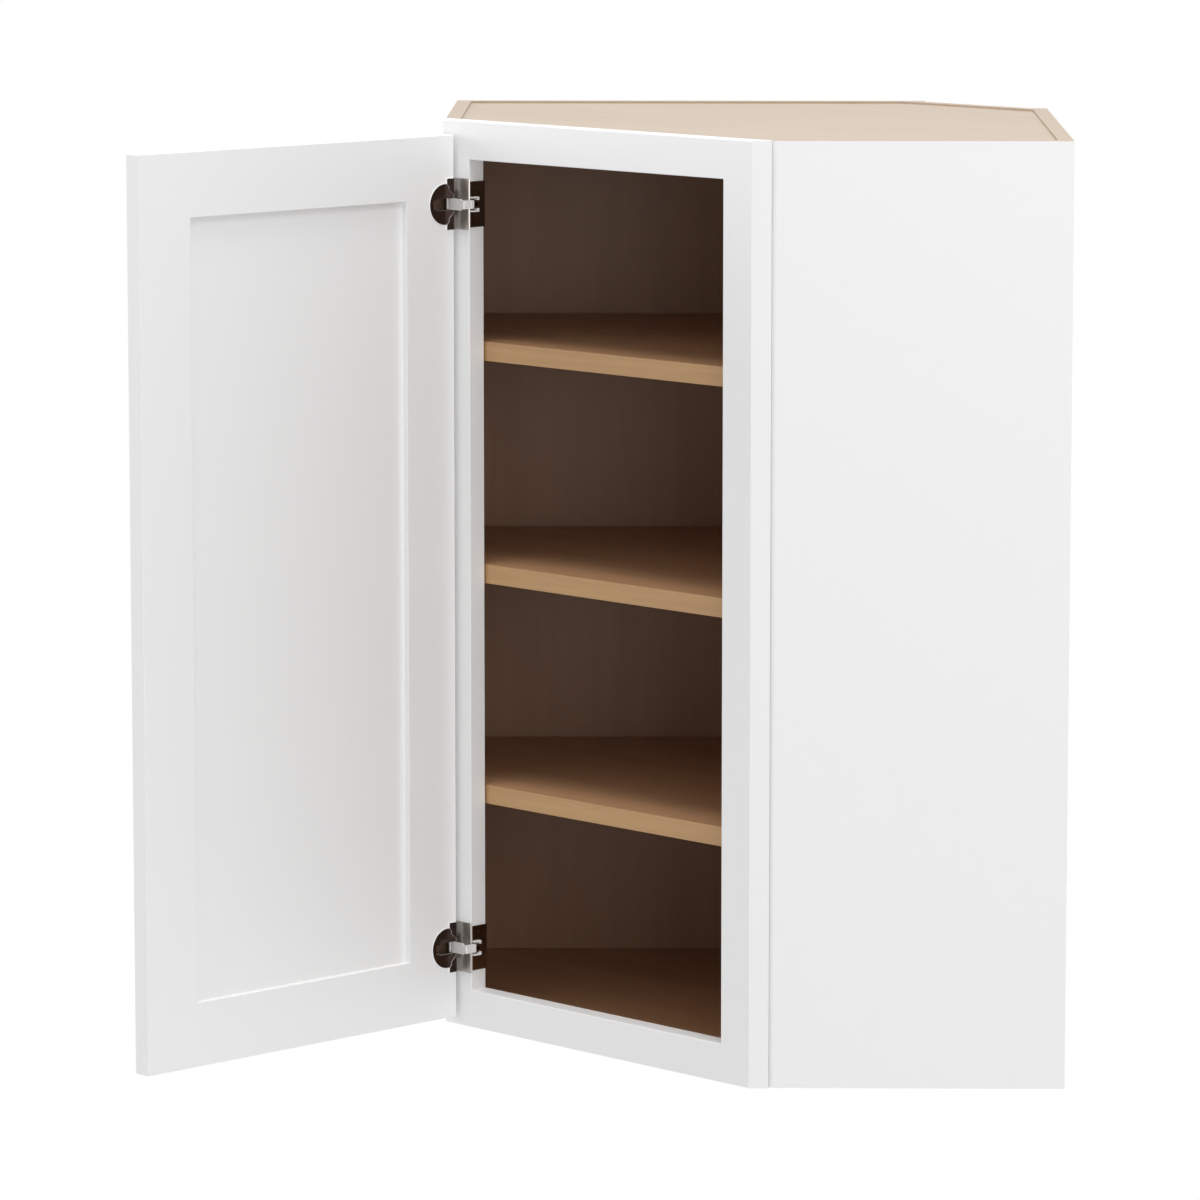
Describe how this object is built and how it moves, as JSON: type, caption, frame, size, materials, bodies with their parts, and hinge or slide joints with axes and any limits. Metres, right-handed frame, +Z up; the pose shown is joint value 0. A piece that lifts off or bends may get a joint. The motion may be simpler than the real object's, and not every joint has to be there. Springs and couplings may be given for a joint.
{
  "type": "corner wall cabinet",
  "caption": "Diagonal corner wall cabinet with a white face frame, a shaker door on hidden cup hinges, adjustable shelves and a brown wood-grain interior.",
  "frame": {"origin": "on the outer face of the corner panel, on the middle line of the cabinet, at the underside", "axes": "+Z up, the front opening faces -Y, +X to the right of someone facing the front; the two room walls lie at 45 degrees to +Y, on either side of it"},
  "size_m": [0.8588, 0.9714, 0.9144],
  "materials": {
    "painted_white": "satin",
    "brown_woodgrain": "satin",
    "shelf_edge_band": "satin",
    "nickel_plate": "gloss",
    "screw_steel": "satin",
    "spring_steel": "satin"
  },
  "bodies": {
    "carcass": {"side_left": "painted_white", "side_right": "painted_white", "frame_stile_left": "painted_white", "frame_stile_right": "painted_white", "frame_rail_top": "painted_white", "frame_rail_bottom": "painted_white", "back_left": "brown_woodgrain", "back_right": "brown_woodgrain", "corner_back": "brown_woodgrain", "bottom_panel": "brown_woodgrain", "top_panel": "brown_woodgrain", "shelf_upper_pins": "screw_steel", "shelf_middle_pins": "screw_steel", "shelf_lower_pins": "screw_steel", "hinge_lower_arm": "nickel_plate", "hinge_lower_plate": "nickel_plate", "hinge_lower_guides": "nickel_plate", "hinge_lower_clamp_screw": "screw_steel", "hinge_lower_plate_screws": "screw_steel", "hinge_upper_arm": "nickel_plate", "hinge_upper_plate": "nickel_plate", "hinge_upper_guides": "nickel_plate", "hinge_upper_clamp_screw": "screw_steel", "hinge_upper_plate_screws": "screw_steel"},
    "door": {"door_stile_hinge": "painted_white", "door_stile_free": "painted_white", "door_rail_top": "painted_white", "door_rail_bottom": "painted_white", "door_panel": "painted_white", "hinge_lower_cup": "nickel_plate", "hinge_lower_cover": "nickel_plate", "hinge_lower_leaf": "nickel_plate", "hinge_lower_pin": "screw_steel", "hinge_lower_spring": "spring_steel", "hinge_lower_leaf_screws": "screw_steel", "hinge_upper_cup": "nickel_plate", "hinge_upper_cover": "nickel_plate", "hinge_upper_leaf": "nickel_plate", "hinge_upper_pin": "screw_steel", "hinge_upper_spring": "spring_steel", "hinge_upper_leaf_screws": "screw_steel"},
    "shelf_upper": {"shelf_upper": "brown_woodgrain", "shelf_upper_edge_band": "shelf_edge_band"},
    "shelf_middle": {"shelf_middle": "brown_woodgrain", "shelf_middle_edge_band": "shelf_edge_band"},
    "shelf_lower": {"shelf_lower": "brown_woodgrain", "shelf_lower_edge_band": "shelf_edge_band"}
  },
  "joints": [
    {"name": "door_swing", "type": "hinge", "parent": "carcass", "child": "door", "pos_m": [-0.19963, -0.55836, 0.4565], "axis": [0, 0, -1], "range_deg": [-90, 15]},
    {"name": "shelf_upper_lift", "type": "slide", "parent": "carcass", "child": "shelf_upper", "axis": [0, 0, 1], "range_m": [0, 0.032]},
    {"name": "shelf_middle_lift", "type": "slide", "parent": "carcass", "child": "shelf_middle", "axis": [0, 0, 1], "range_m": [0, 0.032]},
    {"name": "shelf_lower_lift", "type": "slide", "parent": "carcass", "child": "shelf_lower", "axis": [0, 0, 1], "range_m": [0, 0.032]}
  ]
}
